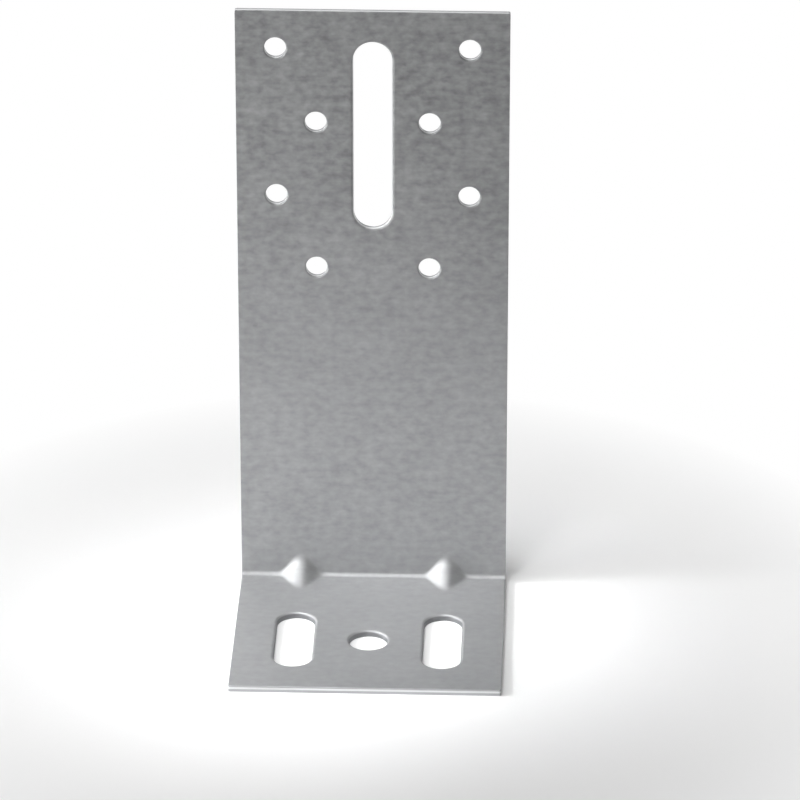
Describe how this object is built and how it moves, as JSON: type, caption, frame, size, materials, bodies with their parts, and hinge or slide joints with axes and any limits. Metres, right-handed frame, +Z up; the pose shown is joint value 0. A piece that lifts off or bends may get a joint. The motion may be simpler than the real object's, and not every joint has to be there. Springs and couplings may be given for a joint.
{
  "type": "angle bracket",
  "caption": "Folded sheet-steel angle bracket: a tall slotted leg with staggered nail holes on a short slotted base, stiffened by pressed darts across the fold.",
  "frame": {"origin": "axis of the round anchor hole, on the underside of the base", "axes": "+Z up along the upright leg, -Y out along the base towards its front edge, +X across the width to the right as seen from the front"},
  "size_m": [0.06, 0.054, 0.14],
  "materials": {
    "galvanised_steel": "hot-dip galvanised sheet, dull fine spangle"
  },
  "bodies": {
    "root": {"bracket": "galvanised_steel"}
  },
  "joints": []
}
